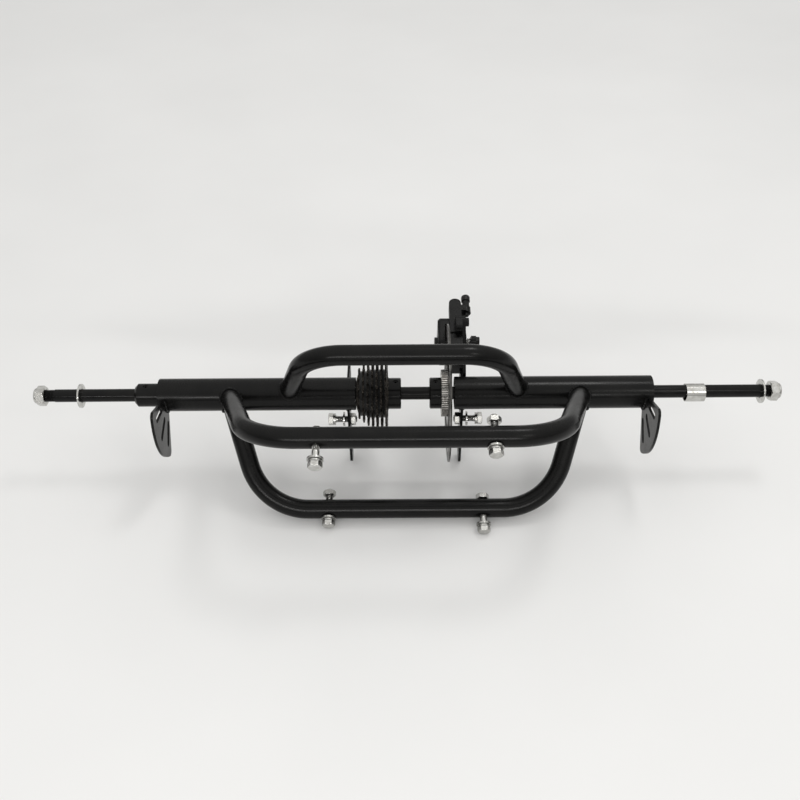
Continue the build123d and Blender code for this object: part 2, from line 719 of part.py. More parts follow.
# --- Brake disc ---
track_middle = (DISC_OUTER + DISC_TRACK_INNER) / 4
spoke_middle = (DISC_TRACK_INNER + CARRIER_OUTER) / 4
with BuildPart() as brake_disc:
    with BuildSketch(across(DISC_FACE)):
        Circle(DISC_OUTER / 2)
        Circle(DISC_TRACK_INNER / 2, mode=Mode.SUBTRACT)
        Circle(CARRIER_OUTER / 2)
        with PolarLocations(spoke_middle, DISC_BOLT_COUNT):
            Rectangle(DISC_SPOKE_LENGTH, DISC_SPOKE_WIDTH, rotation=DISC_SPOKE_SLANT)
        Circle(DISC_HUB_BOSS / 2, mode=Mode.SUBTRACT)
        with PolarLocations(DISC_BOLT_CIRCLE / 2, DISC_BOLT_COUNT):
            Circle(DISC_BOLT / 2, mode=Mode.SUBTRACT)
        with PolarLocations(track_middle, DISC_HOLES):
            SlotOverall(DISC_HOLE_LENGTH, DISC_HOLE_WIDTH, rotation=DISC_HOLE_SLANT, mode=Mode.SUBTRACT)
    extrude(amount=DISC_THICKNESS)
save(brake_disc, "brake_disc")

disc_bolts = []
for index in range(DISC_BOLT_COUNT):
    centre = radial(DISC_FACE + DISC_THICKNESS, index * 360 / DISC_BOLT_COUNT)
    spot_origin = centre.from_local_coords((DISC_BOLT_CIRCLE / 2, 0, 0))
    spot = Plane(origin=spot_origin, x_dir=centre.x_dir, z_dir=(1, 0, 0))
    with BuildPart() as disc_bolt:
        with BuildSketch(spot):
            Circle(DISC_BOLT_HEAD / 2)
        extrude(amount=DISC_BOLT_HEAD_HEIGHT)
        fillet(disc_bolt.edges().group_by(Axis.X)[-1], 1.0)
        with BuildSketch(spot):
            Circle(DISC_BOLT / 2)
        extrude(amount=-DISC_BOLT_LENGTH)
        with BuildSketch(spot.offset(DISC_BOLT_HEAD_HEIGHT)):
            RegularPolygon(DISC_BOLT_SOCKET / 2, 6)
        extrude(amount=-DISC_BOLT_SOCKET_DEPTH, mode=Mode.SUBTRACT)
    disc_bolts.append(disc_bolt.part)
save_group(disc_bolts, "disc_bolts")

# --- Freewheel: core on the hub's thread, pawls, balls, shell, sprockets and spacers ---
shell_start = SPROCKET_FIRST - SPROCKET_THICKNESS
nose_end = SPROCKET_FIRST + SPROCKET_PITCH - SPROCKET_THICKNESS / 2
last_face = SPROCKET_FIRST + 6 * SPROCKET_PITCH + SPROCKET_THICKNESS / 2
shell_end = last_face + SHELL_FLANGE

shell_nose = ring(shell_start, nose_end, SHELL_NOSE, SHELL_BORE)
shell_barrel = ring(nose_end, last_face, SHELL_OUTER, SHELL_BORE)
shell_flange = ring(last_face, shell_end, SHELL_FLANGE_OUTER, SHELL_BORE)
shell_cavity = ring(nose_end + SHELL_LIP, shell_end - SHELL_LIP, SHELL_CAVITY, CORE_OUTER)
with BuildPart() as freewheel_shell:
    add([shell_nose, shell_barrel, shell_flange])
    add(shell_cavity, mode=Mode.SUBTRACT)
    with BuildSketch(across(PAWL_START - 1)):
        Circle(SHELL_CAVITY / 2 + 1)
        Circle(RATCHET_INNER / 2, mode=Mode.SUBTRACT)
        with PolarLocations(RATCHET_INNER / 2, RATCHET_TEETH):
            Rectangle(*RATCHET_NOTCH, mode=Mode.SUBTRACT)
    extrude(amount=PAWL_LENGTH + 2)
save(freewheel_shell, "freewheel_shell")

core_start = shell_start - CORE_STANDOUT
core_end = SPROCKET_HUB_START
core_blank = ring(core_start, core_end, CORE_OUTER, CORE_BORE)
core_thread = ring(core_end - HUB_THREAD_LENGTH, core_end, HUB_THREAD, CORE_BORE)
with BuildPart() as freewheel_core:
    add(core_blank)
    add(core_thread, mode=Mode.SUBTRACT)
    with BuildSketch(across(core_start)):
        with PolarLocations(CORE_BORE / 2, CORE_SPLINE_COUNT):
            Rectangle(*CORE_SPLINE)
    extrude(amount=CORE_SPLINE_LENGTH, mode=Mode.SUBTRACT)
    with BuildSketch(across(PAWL_START)):
        with PolarLocations(CORE_OUTER / 2, 2):
            Rectangle(PAWL_HEIGHT, PAWL_WIDTH)
    extrude(amount=PAWL_LENGTH, mode=Mode.SUBTRACT)
save(freewheel_core, "freewheel_core")

with BuildPart() as freewheel_pawls:
    with BuildSketch(across(PAWL_START + RUNNING_GAP)):
        with PolarLocations((CORE_OUTER - PAWL_HEIGHT + PAWL_THICKNESS) / 2 + RUNNING_GAP, 2):
            Rectangle(PAWL_THICKNESS, PAWL_WIDTH - 2 * RUNNING_GAP)
    extrude(amount=PAWL_LENGTH - 2 * RUNNING_GAP)
save(freewheel_pawls, "freewheel_pawls")

ball_circle = (CORE_OUTER + SHELL_CAVITY) / 2
ball_size = (SHELL_CAVITY - CORE_OUTER) / 2 - 2 * RUNNING_GAP
row_places = (nose_end + BALL_ROW_INSET, shell_end - BALL_ROW_INSET)
ball_rows = [balls(x, ball_circle, ball_size, FREEWHEEL_BALLS) for x in row_places]
save_group(ball_rows, "freewheel_balls")


def sprocket(teeth, middle, bore):
    """Chain sprocket: roller seats on the pitch circle, opening outwards between the teeth."""
    pitch_radius = CHAIN_PITCH / (2 * math.sin(math.pi / teeth))
    tip_radius = pitch_radius + TOOTH_HEIGHT
    seat = ROLLER / 2
    mouth = seat + TOOTH_GAP_FLARE
    gap = ((0, -seat), (TOOTH_GAP_DEPTH, -mouth), (TOOTH_GAP_DEPTH, mouth), (0, seat))
    with BuildPart() as piece:
        with BuildSketch(across(middle - SPROCKET_THICKNESS / 2)):
            Circle(tip_radius)
            with PolarLocations(pitch_radius, teeth):
                Circle(seat, mode=Mode.SUBTRACT)
                Polygon(*gap, align=None, mode=Mode.SUBTRACT)
            Circle(bore / 2, mode=Mode.SUBTRACT)
            if pitch_radius > SPROCKET_WINDOWED:
                with PolarLocations((pitch_radius + bore / 2) / 2 - 1, WINDOW_COUNT):
                    SlotOverall(*WINDOW_SIZE, rotation=90, mode=Mode.SUBTRACT)
        extrude(amount=SPROCKET_THICKNESS)
    return piece.part


for index, teeth in enumerate(SPROCKET_TEETH):
    middle = SPROCKET_FIRST + index * SPROCKET_PITCH
    bore = SHELL_NOSE if index == 0 else SHELL_OUTER
    save_group([sprocket(teeth, middle, bore)], f"sprocket_{teeth}t")

spacers = []
for index in range(len(SPROCKET_TEETH) - 1):
    start = SPROCKET_FIRST + index * SPROCKET_PITCH + SPROCKET_THICKNESS / 2
    end = start + SPROCKET_PITCH - SPROCKET_THICKNESS
    spacer_outer = SPACER_SMALL if index < 2 else SPACER_LARGE
    spacer_bore = SHELL_NOSE if index == 0 else SHELL_OUTER
    spacers.append(ring(start, end, spacer_outer, spacer_bore))
save_group(spacers, "sprocket_spacers")

# --- Brake caliper: in its planes, x is the distance out from the axle and y runs round the disc, upwards ---
slot_start = DISC_FACE - PAD_GAP - LINING - BACKING
moving_face = DISC_FACE + DISC_THICKNESS + PAD_GAP + PAD_TRAVEL
slot_end = moving_face + LINING + BACKING
disc_middle = DISC_FACE + DISC_THICKNESS / 2
piston_end = plate_outer_face - 1.0
arm_start = ARM_OUTER_FACE - ARM_THICKNESS
lug_places = ((LUG_RADIUS, -LUG_OFFSET), (LUG_RADIUS, LUG_OFFSET))
cable_direction = direction(MOUNT_ANGLE + 180)


def caliper_block(start, end, extents, corner):
    """Block with rounded corners between two X positions, with its extents given in the caliper's plane."""
    low, high, bottom, top = extents
    with BuildPart() as piece:
        with BuildSketch(caliper_plane(start)):
            with Locations(((low + high) / 2, (bottom + top) / 2)):
                RectangleRounded(high - low, top - bottom, corner)
        extrude(amount=end - start)
    return piece.part


def caliper_disc(start, end, outer, place=(CALIPER_RADIUS, 0)):
    """Round piece parallel to the axle, at a place in the caliper's plane."""
    with BuildPart() as piece:
        with BuildSketch(caliper_plane(start)):
            with Locations(place):
                Circle(outer / 2)
        extrude(amount=end - start)
    return piece.part


def caliper_seat(x, place):
    """Plane at x on an axis parallel to the axle, at a place in the caliper's plane, facing outboard."""
    frame = caliper_plane(x)
    return Plane(origin=frame.from_local_coords((place[0], place[1], 0)), x_dir=frame.x_dir, z_dir=(1, 0, 0))


def cable_plane(distance):
    """Plane across the brake cable at a distance out from the axle, facing outwards."""
    origin = caliper_plane(CABLE_X).from_local_coords((distance, CABLE_OFFSET, 0))
    return Plane(origin=origin, x_dir=(1, 0, 0), z_dir=cable_direction)


def bracket_arm(lug_place):
    """Arm of the bracket, from its root beside the plate to one lug."""
    with BuildPart() as arm:
        with BuildSketch(caliper_plane(plate_outer_face)):
            with Locations(BRACKET_ROOT_PLACE):
                Circle(BRACKET_ROOT)
            with Locations(lug_place):
                Circle(LUG_ROUND)
            make_hull()
        extrude(amount=BRACKET_THICKNESS)
    return arm.part


bracket_end = plate_outer_face + BRACKET_THICKNESS
bracket_arms = [bracket_arm(place) for place in lug_places]
barrel_hole = caliper_disc(plate_outer_face, bracket_end, BARREL + 2)
lug_holes = [caliper_disc(plate_outer_face, bracket_end, CALIPER_BOLT + 0.4, place) for place in lug_places]
with BuildPart() as caliper_bracket:
    add(bracket_arms)
    add([barrel_hole] + lug_holes, mode=Mode.SUBTRACT)
save(caliper_bracket, "caliper_bracket")

inner_half = caliper_block(CALIPER_INNER_FACE, disc_middle, INNER_HALF, CALIPER_CORNER)
outer_half = caliper_block(disc_middle, plate_outer_face, OUTER_HALF, CALIPER_CORNER)
flange_low = LUG_RADIUS - FLANGE_INSET - FLANGE_SIZE / 2
flange_reach = LUG_OFFSET + LUG_ROUND
flange_extents = (flange_low, flange_low + FLANGE_SIZE, -flange_reach, flange_reach)
flange_start = plate_outer_face - FLANGE_THICKNESS
flange = caliper_block(flange_start, plate_outer_face, flange_extents, CALIPER_CORNER)
outer_barrel = caliper_disc(plate_outer_face, CALIPER_OUTER_FACE, BARREL)
slot_width = (DISC_FACE - DISC_GAP, DISC_FACE + DISC_THICKNESS + DISC_GAP)
disc_slot = ring(*slot_width, DISC_OUTER + 2 * DISC_CLEARANCE, 0)
pad_reach = BACKING_SIZE[0] / 2 + PAD_POCKET_GAP
pad_length = BACKING_SIZE[1] / 2 + PAD_POCKET_GAP
pad_middle = CALIPER_RADIUS + PAD_OFFSET
pocket_extents = (pad_middle - pad_reach, pad_middle + pad_reach, -pad_length, pad_length)
pad_pocket = caliper_block(slot_start, slot_end, pocket_extents, PAD_CORNER)
piston_bore = caliper_disc(moving_face, CALIPER_OUTER_FACE - CALIPER_COVER, PISTON + 2 * RUNNING_GAP)
cam_bore = caliper_disc(CALIPER_INNER_FACE, CALIPER_OUTER_FACE, CAM_SHAFT + RUNNING_GAP)
flange_holes = [caliper_disc(flange_start, plate_outer_face, CALIPER_BOLT, place) for place in lug_places]

with BuildPart() as cable_post:
    with BuildSketch(caliper_plane(CABLE_POST_X - CABLE_POST_WIDTH / 2)):
        with Locations(((CABLE_POST_TIP + CALIPER_RADIUS) / 2, CABLE_OFFSET)):
            Rectangle(CABLE_POST_TIP - CALIPER_RADIUS, CABLE_POST_WIDTH)
    extrude(amount=CABLE_POST_WIDTH)
    tip_edges = cable_post.edges().group_by(Axis((0, 0, 0), cable_direction))[-1]
    fillet(tip_edges.filter_by(Axis((0, 0, 0), direction(MOUNT_ANGLE + 90))), CABLE_POST_WIDTH / 2 - 0.5)
    with BuildSketch(caliper_plane(CABLE_POST_X)):
        with Locations((CABLE_POST_TIP - CABLE_BRIDGE_INSET, CABLE_OFFSET)):
            Rectangle(CABLE_BRIDGE, CABLE_POST_WIDTH)
    extrude(amount=CABLE_X - CABLE_POST_X)
    with BuildSketch(cable_plane(CABLE_BOSS_START)):
        Circle(CABLE_BOSS / 2)
    extrude(amount=CABLE_BOSS_LENGTH)
    with BuildSketch(cable_plane(CABLE_BOSS_START)):
        Circle((BARREL_THREAD + RUNNING_GAP) / 2)
    extrude(amount=CABLE_BOSS_LENGTH, mode=Mode.SUBTRACT)

with BuildPart() as caliper_body:
    add(inner_half)
    chamfer(caliper_body.edges().group_by(Axis.X)[0], CALIPER_CHAMFER)
    add([outer_half, flange, outer_barrel, cable_post.part])
    add([disc_slot, pad_pocket, piston_bore, cam_bore] + flange_holes, mode=Mode.SUBTRACT)
save(caliper_body, "caliper_body")


def brake_pad(start, thickness, size):
    """Flat plate of a brake pad; size is its height and its length round the disc."""
    low = CALIPER_RADIUS + PAD_OFFSET - size[0] / 2
    extents = (low, low + size[0], -size[1] / 2, size[1] / 2)
    return caliper_block(start, start + thickness, extents, PAD_CORNER)


save_group([brake_pad(slot_start, BACKING, BACKING_SIZE)], "fixed_pad_plate")
save_group([brake_pad(slot_start + BACKING, LINING, LINING_SIZE)], "fixed_pad_lining")
save_group([brake_pad(moving_face, LINING, LINING_SIZE)], "moving_pad_lining")
save_group([brake_pad(moving_face + LINING, BACKING, BACKING_SIZE)], "moving_pad_plate")
save_group([caliper_disc(slot_end, piston_end, PISTON)], "piston")

cam_shoulder = CALIPER_OUTER_FACE - CALIPER_COVER - RUNNING_GAP
cam_head = caliper_disc(piston_end + CAM_GAP, cam_shoulder, PISTON)
cam_shaft = caliper_disc(cam_shoulder, ARM_OUTER_FACE, CAM_SHAFT)
with BuildPart() as brake_cam:
    add([cam_head, cam_shaft])
save(brake_cam, "brake_cam")

with BuildPart() as brake_arm:
    with BuildSketch(caliper_plane(arm_start)):
        with Locations((CALIPER_RADIUS, 0)):
            Circle(ARM_EYE / 2)
        with Locations(CLAMP_PLACE):
            Circle(ARM_TIP / 2)
        make_hull()
        with Locations((CALIPER_RADIUS, 0)):
            Circle(CAM_SHAFT / 2, mode=Mode.SUBTRACT)
        with Locations(CLAMP_PLACE):
            Circle(CLAMP_BOLT / 2, mode=Mode.SUBTRACT)
    extrude(amount=ARM_THICKNESS)
save(brake_arm, "brake_arm")

save_group([hex_prism(caliper_seat(ARM_OUTER_FACE, (CALIPER_RADIUS, 0)), ARM_NUT_FLATS, ARM_NUT)], "arm_nut")

clamp_seat = ARM_OUTER_FACE + CLAMP_WASHER + RUNNING_GAP
clamp_nut = hex_prism(caliper_seat(clamp_seat, CLAMP_PLACE), CLAMP_FLATS, CLAMP_NUT)
clamp_shank = caliper_disc(arm_start - CLAMP_TAIL, clamp_seat, CLAMP_BOLT, CLAMP_PLACE)
with BuildPart() as clamp_bolt:
    add([clamp_nut, clamp_shank])
washer_seat = caliper_seat(ARM_OUTER_FACE + RUNNING_GAP / 2, CLAMP_PLACE)
clamp_washer = washer(washer_seat, ARM_TIP, CLAMP_BOLT + 4 * RUNNING_GAP, CLAMP_WASHER)
save_group([clamp_bolt.part, clamp_washer], "cable_clamp")

bolt_length = BRACKET_THICKNESS + FLANGE_THICKNESS
seats = [caliper_seat(bracket_end, place) for place in lug_places]
head_size = (CALIPER_BOLT_FLATS, CALIPER_BOLT_HEAD)
caliper_bolts = [hex_bolt(seat, CALIPER_BOLT, bolt_length, *head_size) for seat in seats]
save_group(caliper_bolts, "caliper_bolts")

knob_end = CALIPER_INNER_FACE - 2 * RUNNING_GAP
knob_start = knob_end - ADJUSTER_KNOB_HEIGHT
adjuster_knob = caliper_disc(knob_start, knob_end, ADJUSTER_KNOB)
adjuster_shank = caliper_disc(knob_end, slot_start - RUNNING_GAP, CAM_SHAFT)
with BuildPart() as pad_adjuster:
    add(adjuster_knob)
    fillet(pad_adjuster.edges().group_by(Axis.X)[0], ADJUSTER_KNOB / 20)
    with BuildSketch(caliper_seat(knob_start, (CALIPER_RADIUS, 0))):
        RegularPolygon(ADJUSTER_SOCKET / 2, 6)
    extrude(amount=ADJUSTER_SOCKET / 2, mode=Mode.SUBTRACT)
    add(adjuster_shank)
save(pad_adjuster, "pad_adjuster")

neck_start = BARREL_START + BARREL_NECK_START
grip_start = neck_start + BARREL_NECK
with BuildPart() as barrel_adjuster:
    with BuildSketch(cable_plane(BARREL_START)):
        Circle(BARREL_THREAD / 2)
    extrude(amount=BARREL_THREAD_LENGTH)
    with BuildSketch(cable_plane(neck_start)):
        Circle(BARREL_NECK_OUTER / 2)
        with PolarLocations(BARREL_NECK_OUTER / 2, BARREL_KNURL_COUNT):
            Circle(BARREL_KNURL / 2, mode=Mode.SUBTRACT)
    extrude(amount=BARREL_NECK)
    with BuildSketch(cable_plane(grip_start)):
        Circle(BARREL_HEAD / 2)
    extrude(amount=BARREL_GRIP)
    fillet(barrel_adjuster.edges().group_by(Axis((0, 0, 0), cable_direction))[-1], BARREL_HEAD / 4)
    with BuildSketch(cable_plane(BARREL_START)):
        Circle(CABLE_BORE / 2)
    extrude(amount=grip_start + BARREL_GRIP - BARREL_START, mode=Mode.SUBTRACT)
save(barrel_adjuster, "barrel_adjuster")

coil_seat = caliper_seat(CALIPER_OUTER_FACE + SPRING_WIRE / 2 + SPRING_GAP, (CALIPER_RADIUS, 0))
coil_height = arm_start - CALIPER_OUTER_FACE - SPRING_WIRE - 2 * SPRING_GAP
with BuildPart() as return_spring:
    with BuildLine() as coil:
        Helix(coil_height / 2, coil_height, SPRING_RADIUS, center=coil_seat.origin, direction=(1, 0, 0))
    with BuildSketch(Plane(origin=coil.line @ 0, z_dir=coil.line % 0)):
        Circle(SPRING_WIRE / 2)
    sweep(path=coil.line, is_frenet=True)
save(return_spring, "return_spring")
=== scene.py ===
import json
import math

import bpy
from mathutils import Matrix, Vector, noise


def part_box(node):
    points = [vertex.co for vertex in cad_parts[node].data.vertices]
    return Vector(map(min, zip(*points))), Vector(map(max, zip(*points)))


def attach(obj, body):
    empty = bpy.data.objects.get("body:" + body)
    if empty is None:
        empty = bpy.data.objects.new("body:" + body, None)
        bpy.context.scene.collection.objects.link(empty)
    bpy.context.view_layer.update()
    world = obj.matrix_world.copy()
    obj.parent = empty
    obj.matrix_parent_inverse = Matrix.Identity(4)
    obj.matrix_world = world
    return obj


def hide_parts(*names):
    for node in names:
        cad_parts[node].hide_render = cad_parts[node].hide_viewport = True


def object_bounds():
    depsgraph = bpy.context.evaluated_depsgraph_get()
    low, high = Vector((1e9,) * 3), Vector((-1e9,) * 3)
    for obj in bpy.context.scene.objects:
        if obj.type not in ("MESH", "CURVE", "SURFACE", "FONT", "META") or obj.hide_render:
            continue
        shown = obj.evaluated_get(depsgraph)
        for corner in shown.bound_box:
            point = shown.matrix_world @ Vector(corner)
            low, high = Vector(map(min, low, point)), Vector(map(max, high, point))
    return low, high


# Looks for the kart rear axle assembly, in metres: threads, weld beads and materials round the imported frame.
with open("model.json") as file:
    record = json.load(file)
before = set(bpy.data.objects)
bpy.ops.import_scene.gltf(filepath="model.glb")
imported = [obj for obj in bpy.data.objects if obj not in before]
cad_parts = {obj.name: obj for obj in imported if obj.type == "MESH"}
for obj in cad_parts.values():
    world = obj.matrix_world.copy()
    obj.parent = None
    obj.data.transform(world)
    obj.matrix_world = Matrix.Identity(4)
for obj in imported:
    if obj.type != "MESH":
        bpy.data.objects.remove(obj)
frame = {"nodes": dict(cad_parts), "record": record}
cad_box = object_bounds()
nodes = frame["nodes"]
MM = 0.001

# --- Places worked out from the frame ---
tube_low, tube_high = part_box("right_axle_tube")
TUBE_RADIUS = (tube_high.z - tube_low.z) / 2
FLOOR_Z = cad_box[0][2] - 0.2 * MM
FLOOR_REACH = 6.0
HOOP_RADIUS = 11 * MM
MOUNT_ANGLE = -16.6
axle_low, axle_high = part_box("axle")

# --- Tints ---
WARM = (1.0, 0.97, 0.92)
BROWN = (1.0, 0.85, 0.72)


def direction(angle):
    """Unit vector in the YZ plane, at an angle in degrees from -Y, upwards positive."""
    turn = math.radians(angle)
    return Vector((0, -math.cos(turn), math.sin(turn)))


# --- Shader helpers ---
def add_node(tree, kind, inputs=None, **settings):
    """New shader node with its settings and its inputs, which are values or other nodes' sockets."""
    node = tree.nodes.new(kind)
    for name, value in settings.items():
        setattr(node, name, value)
    for name, value in (inputs or {}).items():
        if isinstance(value, bpy.types.NodeSocket):
            tree.links.new(value, node.inputs[name])
        else:
            node.inputs[name].default_value = value
    return node


def object_coordinates(tree, stretch=(1, 1, 1)):
    """Socket with the object's own coordinates, stretched along each axis."""
    place = add_node(tree, "ShaderNodeTexCoord").outputs["Object"]
    return add_node(tree, "ShaderNodeMapping", {"Vector": place, "Scale": stretch}).outputs["Vector"]


def noise_value(tree, scale, detail=3, stretch=(1, 1, 1), roughness=0.55):
    """Socket with noise between 0 and 1; scale counts features per metre."""
    place = object_coordinates(tree, stretch)
    inputs = {"Vector": place, "Scale": scale, "Detail": detail, "Roughness": roughness}
    return add_node(tree, "ShaderNodeTexNoise", inputs).outputs["Fac"]


def remap(tree, value, low, high, to_low, to_high):
    """Socket with a value moved from one range to another, clamped."""
    inputs = {"Value": value, "From Min": low, "From Max": high, "To Min": to_low, "To Max": to_high}
    return add_node(tree, "ShaderNodeMapRange", inputs).outputs["Result"]


def mix_colour(tree, factor, first, second):
    """Socket with a mix of two colours."""
    node = add_node(tree, "ShaderNodeMix", data_type="RGBA")
    for socket, value in ((node.inputs[0], factor), (node.inputs[6], first), (node.inputs[7], second)):
        if isinstance(value, bpy.types.NodeSocket):
            tree.links.new(value, socket)
        else:
            socket.default_value = value
    return node.outputs[2]


def math_value(tree, operation, first, second):
    """Socket with the result of a two-input maths node."""
    return add_node(tree, "ShaderNodeMath", {0: first, 1: second}, operation=operation).outputs[0]


def rounded_normal(tree, radius):
    """Normal with edges rounded by a small radius."""
    return add_node(tree, "ShaderNodeBevel", {"Radius": radius}, samples=4).outputs["Normal"]


def edge_mask(tree, radius):
    """Socket that is 1 on sharp edges and 0 on flat surfaces."""
    soft = rounded_normal(tree, radius)
    flat = add_node(tree, "ShaderNodeNewGeometry").outputs["Normal"]
    dot = add_node(tree, "ShaderNodeVectorMath", {0: soft, 1: flat}, operation="DOT_PRODUCT").outputs["Value"]
    return remap(tree, dot, 0.80, 0.98, 1.0, 0.0)


def grey(value, tint=(1.0, 1.0, 1.0)):
    """Colour from a brightness and a tint."""
    return (value * tint[0], value * tint[1], value * tint[2], 1.0)


def crevice_shade_mask(tree, reach):
    """Socket that falls from 1 in the open to 0 in corners and gaps narrower than the reach; it marks where
    shade is painted.
    """
    open_share = add_node(tree, "ShaderNodeAmbientOcclusion", {"Distance": reach}, samples=6).outputs["AO"]
    return remap(tree, open_share, 0.35, 0.85, 0.0, 1.0)


def surface(name, tones, metallic, rough, scales, bump, edge=None, wear=0.3, gloss=0.5, crevice_shade_reach=0.0,
            stretch=(1, 1, 1)):
    """Metal or paint with blotchy colour, uneven gloss, fine grain, worn corners (on the sprocket also painted
    glints) and painted shade in crevices.
    """
    first, second = tones
    blotch, grain = scales
    material = bpy.data.materials.new(name)
    material.use_nodes = True
    tree = material.node_tree
    shader = tree.nodes["Principled BSDF"]
    patches = noise_value(tree, blotch, 4)
    fine = noise_value(tree, grain, 2, stretch)
    colour = mix_colour(tree, remap(tree, patches, 0.35, 0.65, 0, 1), first, second)
    # Lighter colour on sharp edges: wear, and on the sprocket also painted glints on the tooth edges.
    if edge:
        uneven = remap(tree, patches, 0.4, 0.6, 0.15, 1)
        worn = math_value(tree, "MULTIPLY", edge_mask(tree, wear * MM), uneven)
        colour = mix_colour(tree, worn, colour, edge)
    # Painted shade: ambient occlusion darkens the colour to near black in corners and gaps, where shade falls.
    if crevice_shade_reach:
        colour = mix_colour(tree, crevice_shade_mask(tree, crevice_shade_reach * MM), grey(0.015, WARM), colour)
    rough_patches = remap(tree, patches, 0.3, 0.7, rough[0], rough[1])
    rough_fine = remap(tree, fine, 0.3, 0.7, -0.05, 0.05)
    tree.links.new(colour, shader.inputs["Base Color"])
    tree.links.new(math_value(tree, "ADD", rough_patches, rough_fine), shader.inputs["Roughness"])
    shader.inputs["Metallic"].default_value = metallic
    shader.inputs["Specular IOR Level"].default_value = gloss
    soft = rounded_normal(tree, wear * MM)
    relief = {"Height": fine, "Strength": bump, "Distance": 0.1 * MM, "Normal": soft}
    tree.links.new(add_node(tree, "ShaderNodeBump", relief).outputs["Normal"], shader.inputs["Normal"])
    return material


def turned(material, strength, spacing):
    """Adds fine rings round the axle to a material, as left by a lathe or a grinder."""
    tree = material.node_tree
    shader = tree.nodes["Principled BSDF"]
    place = object_coordinates(tree)
    split = add_node(tree, "ShaderNodeSeparateXYZ", {"Vector": place})
    flat = add_node(tree, "ShaderNodeCombineXYZ", {"Y": split.outputs["Y"], "Z": split.outputs["Z"]})
    reach = add_node(tree, "ShaderNodeVectorMath", {0: flat.outputs["Vector"]}, operation="LENGTH")
    turns = math_value(tree, "MULTIPLY", reach.outputs["Value"], 1 / spacing)
    phase = math_value(tree, "ADD", turns, noise_value(tree, 60))
    inputs = {"W": phase, "Scale": 1.0, "Detail": 4.0}
    rings = add_node(tree, "ShaderNodeTexNoise", inputs, noise_dimensions="1D")
    old = shader.inputs["Normal"].links[0].from_socket
    relief = {"Height": rings.outputs["Fac"], "Strength": strength, "Distance": 0.1 * MM, "Normal": old}
    tree.links.new(add_node(tree, "ShaderNodeBump", relief).outputs["Normal"], shader.inputs["Normal"])
    return material


# --- Materials ---
zinc_tones = (grey(0.62, (1.0, 1.0, 0.97)), grey(0.44, (1.0, 0.98, 0.93)))
disc_tones = (grey(0.13, WARM), grey(0.08, WARM))
paint_tones = (grey(0.0022), grey(0.0045, WARM))
oxide_tones = (grey(0.004), grey(0.007, WARM))
carrier_tones = (grey(0.62, WARM), grey(0.38, (1.0, 0.94, 0.87)))
materials = {
    "black_paint": surface("black_powder_coat", paint_tones, 0.0, (0.20, 0.30), (35, 1400), 0.07,
                           edge=grey(0.014), wear=0.35, gloss=0.17),
    "black_oxide": surface("black_oxide_steel", oxide_tones, 0.0, (0.12, 0.22), (60, 900), 0.06,
                           edge=grey(0.03, WARM), gloss=0.14, stretch=(0.15, 1, 1)),
    # The zinc plate has shade painted into its corners and gaps.
    "zinc_plate": surface("bright_zinc_plate", zinc_tones, 1.0, (0.14, 0.28), (180, 1500),
                          0.10, edge=grey(0.85), wear=0.3, crevice_shade_reach=3.0),
    # Sprocket: the light edge colour stands for worn tooth edges and also paints glints on the teeth.
    "sprocket_steel": surface("sprocket_steel", (grey(0.006, BROWN), grey(0.022, BROWN)), 0.35, (0.42, 0.58),
                              (90, 1200), 0.15, edge=grey(0.60, (1.0, 0.90, 0.76)), wear=0.16, gloss=0.15),
    "bearing_steel": surface("bearing_steel", (grey(0.60), grey(0.52)), 1.0, (0.12, 0.22), (150, 1500), 0.05),
    "seal_rubber": surface("seal_rubber", (grey(0.012), grey(0.02)), 0.0, (0.45, 0.6), (120, 1500),
                           0.2, gloss=0.3),
    "disc_steel": turned(surface("disc_steel", disc_tones, 1.0, (0.24, 0.36), (70, 1200),
                                 0.06, edge=grey(0.40)), 0.35, 0.25 * MM),
    # The carrier zinc has shade painted into its corners and gaps.
    "carrier_zinc": surface("carrier_zinc", carrier_tones, 1.0, (0.20, 0.38), (130, 1300),
                            0.15, edge=grey(0.8), wear=0.2, crevice_shade_reach=1.5),
    "caliper_paint": surface("caliper_paint", (grey(0.0025), grey(0.006)), 0.0, (0.24, 0.38), (110, 800),
                             0.3, edge=grey(0.02), wear=0.5, gloss=0.16),
    "black_plastic": surface("black_nylon", (grey(0.006), grey(0.011)), 0.0, (0.25, 0.42), (120, 900),
                             0.25, edge=grey(0.02), wear=0.3, gloss=0.22),
    "pad_steel": surface("pad_steel", (grey(0.30, WARM), grey(0.22, WARM)), 1.0, (0.3, 0.45), (110, 900),
                         0.15, edge=grey(0.45)),
    "pad_lining": surface("pad_lining", (grey(0.10, BROWN), grey(0.05)), 0.2, (0.6, 0.85), (900, 2500), 0.6),
}

SMOOTH_ANGLE = math.radians(32)


def finish_piece(piece, slot):
    """Gives a piece its slot's material and smooth shading between shallow angles."""
    piece.data.materials.clear()
    piece.data.materials.append(materials[slot])
    piece.data.shade_smooth()
    piece.data.set_sharp_from_angle(angle=SMOOTH_ANGLE)


for part in frame["record"]["subparts"]:
    node = nodes[part["node"]]
    node.data.materials.clear()
    node.data.materials.append(materials[part["material_slot"]])


# --- Mesh helpers ---
def new_piece(name, points, faces, slot, body):
    """Closed mesh made into a piece that rides on a body."""
    mesh = bpy.data.meshes.new(name)
    mesh.from_pydata(points, [], faces)
    mesh.validate()
    piece = bpy.data.objects.new(name, mesh)
    bpy.context.scene.collection.objects.link(piece)
    finish_piece(piece, slot)
    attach(piece, body)
    return piece


def axes_along(axis):
    """Two unit vectors square to an axis and to each other."""
    axis = Vector(axis).normalized()
    helper = Vector((1, 0, 0)) if abs(axis.x) < 0.9 else Vector((0, 1, 0))
    first = (helper - axis * helper.dot(axis)).normalized()
    return first, axis.cross(first)


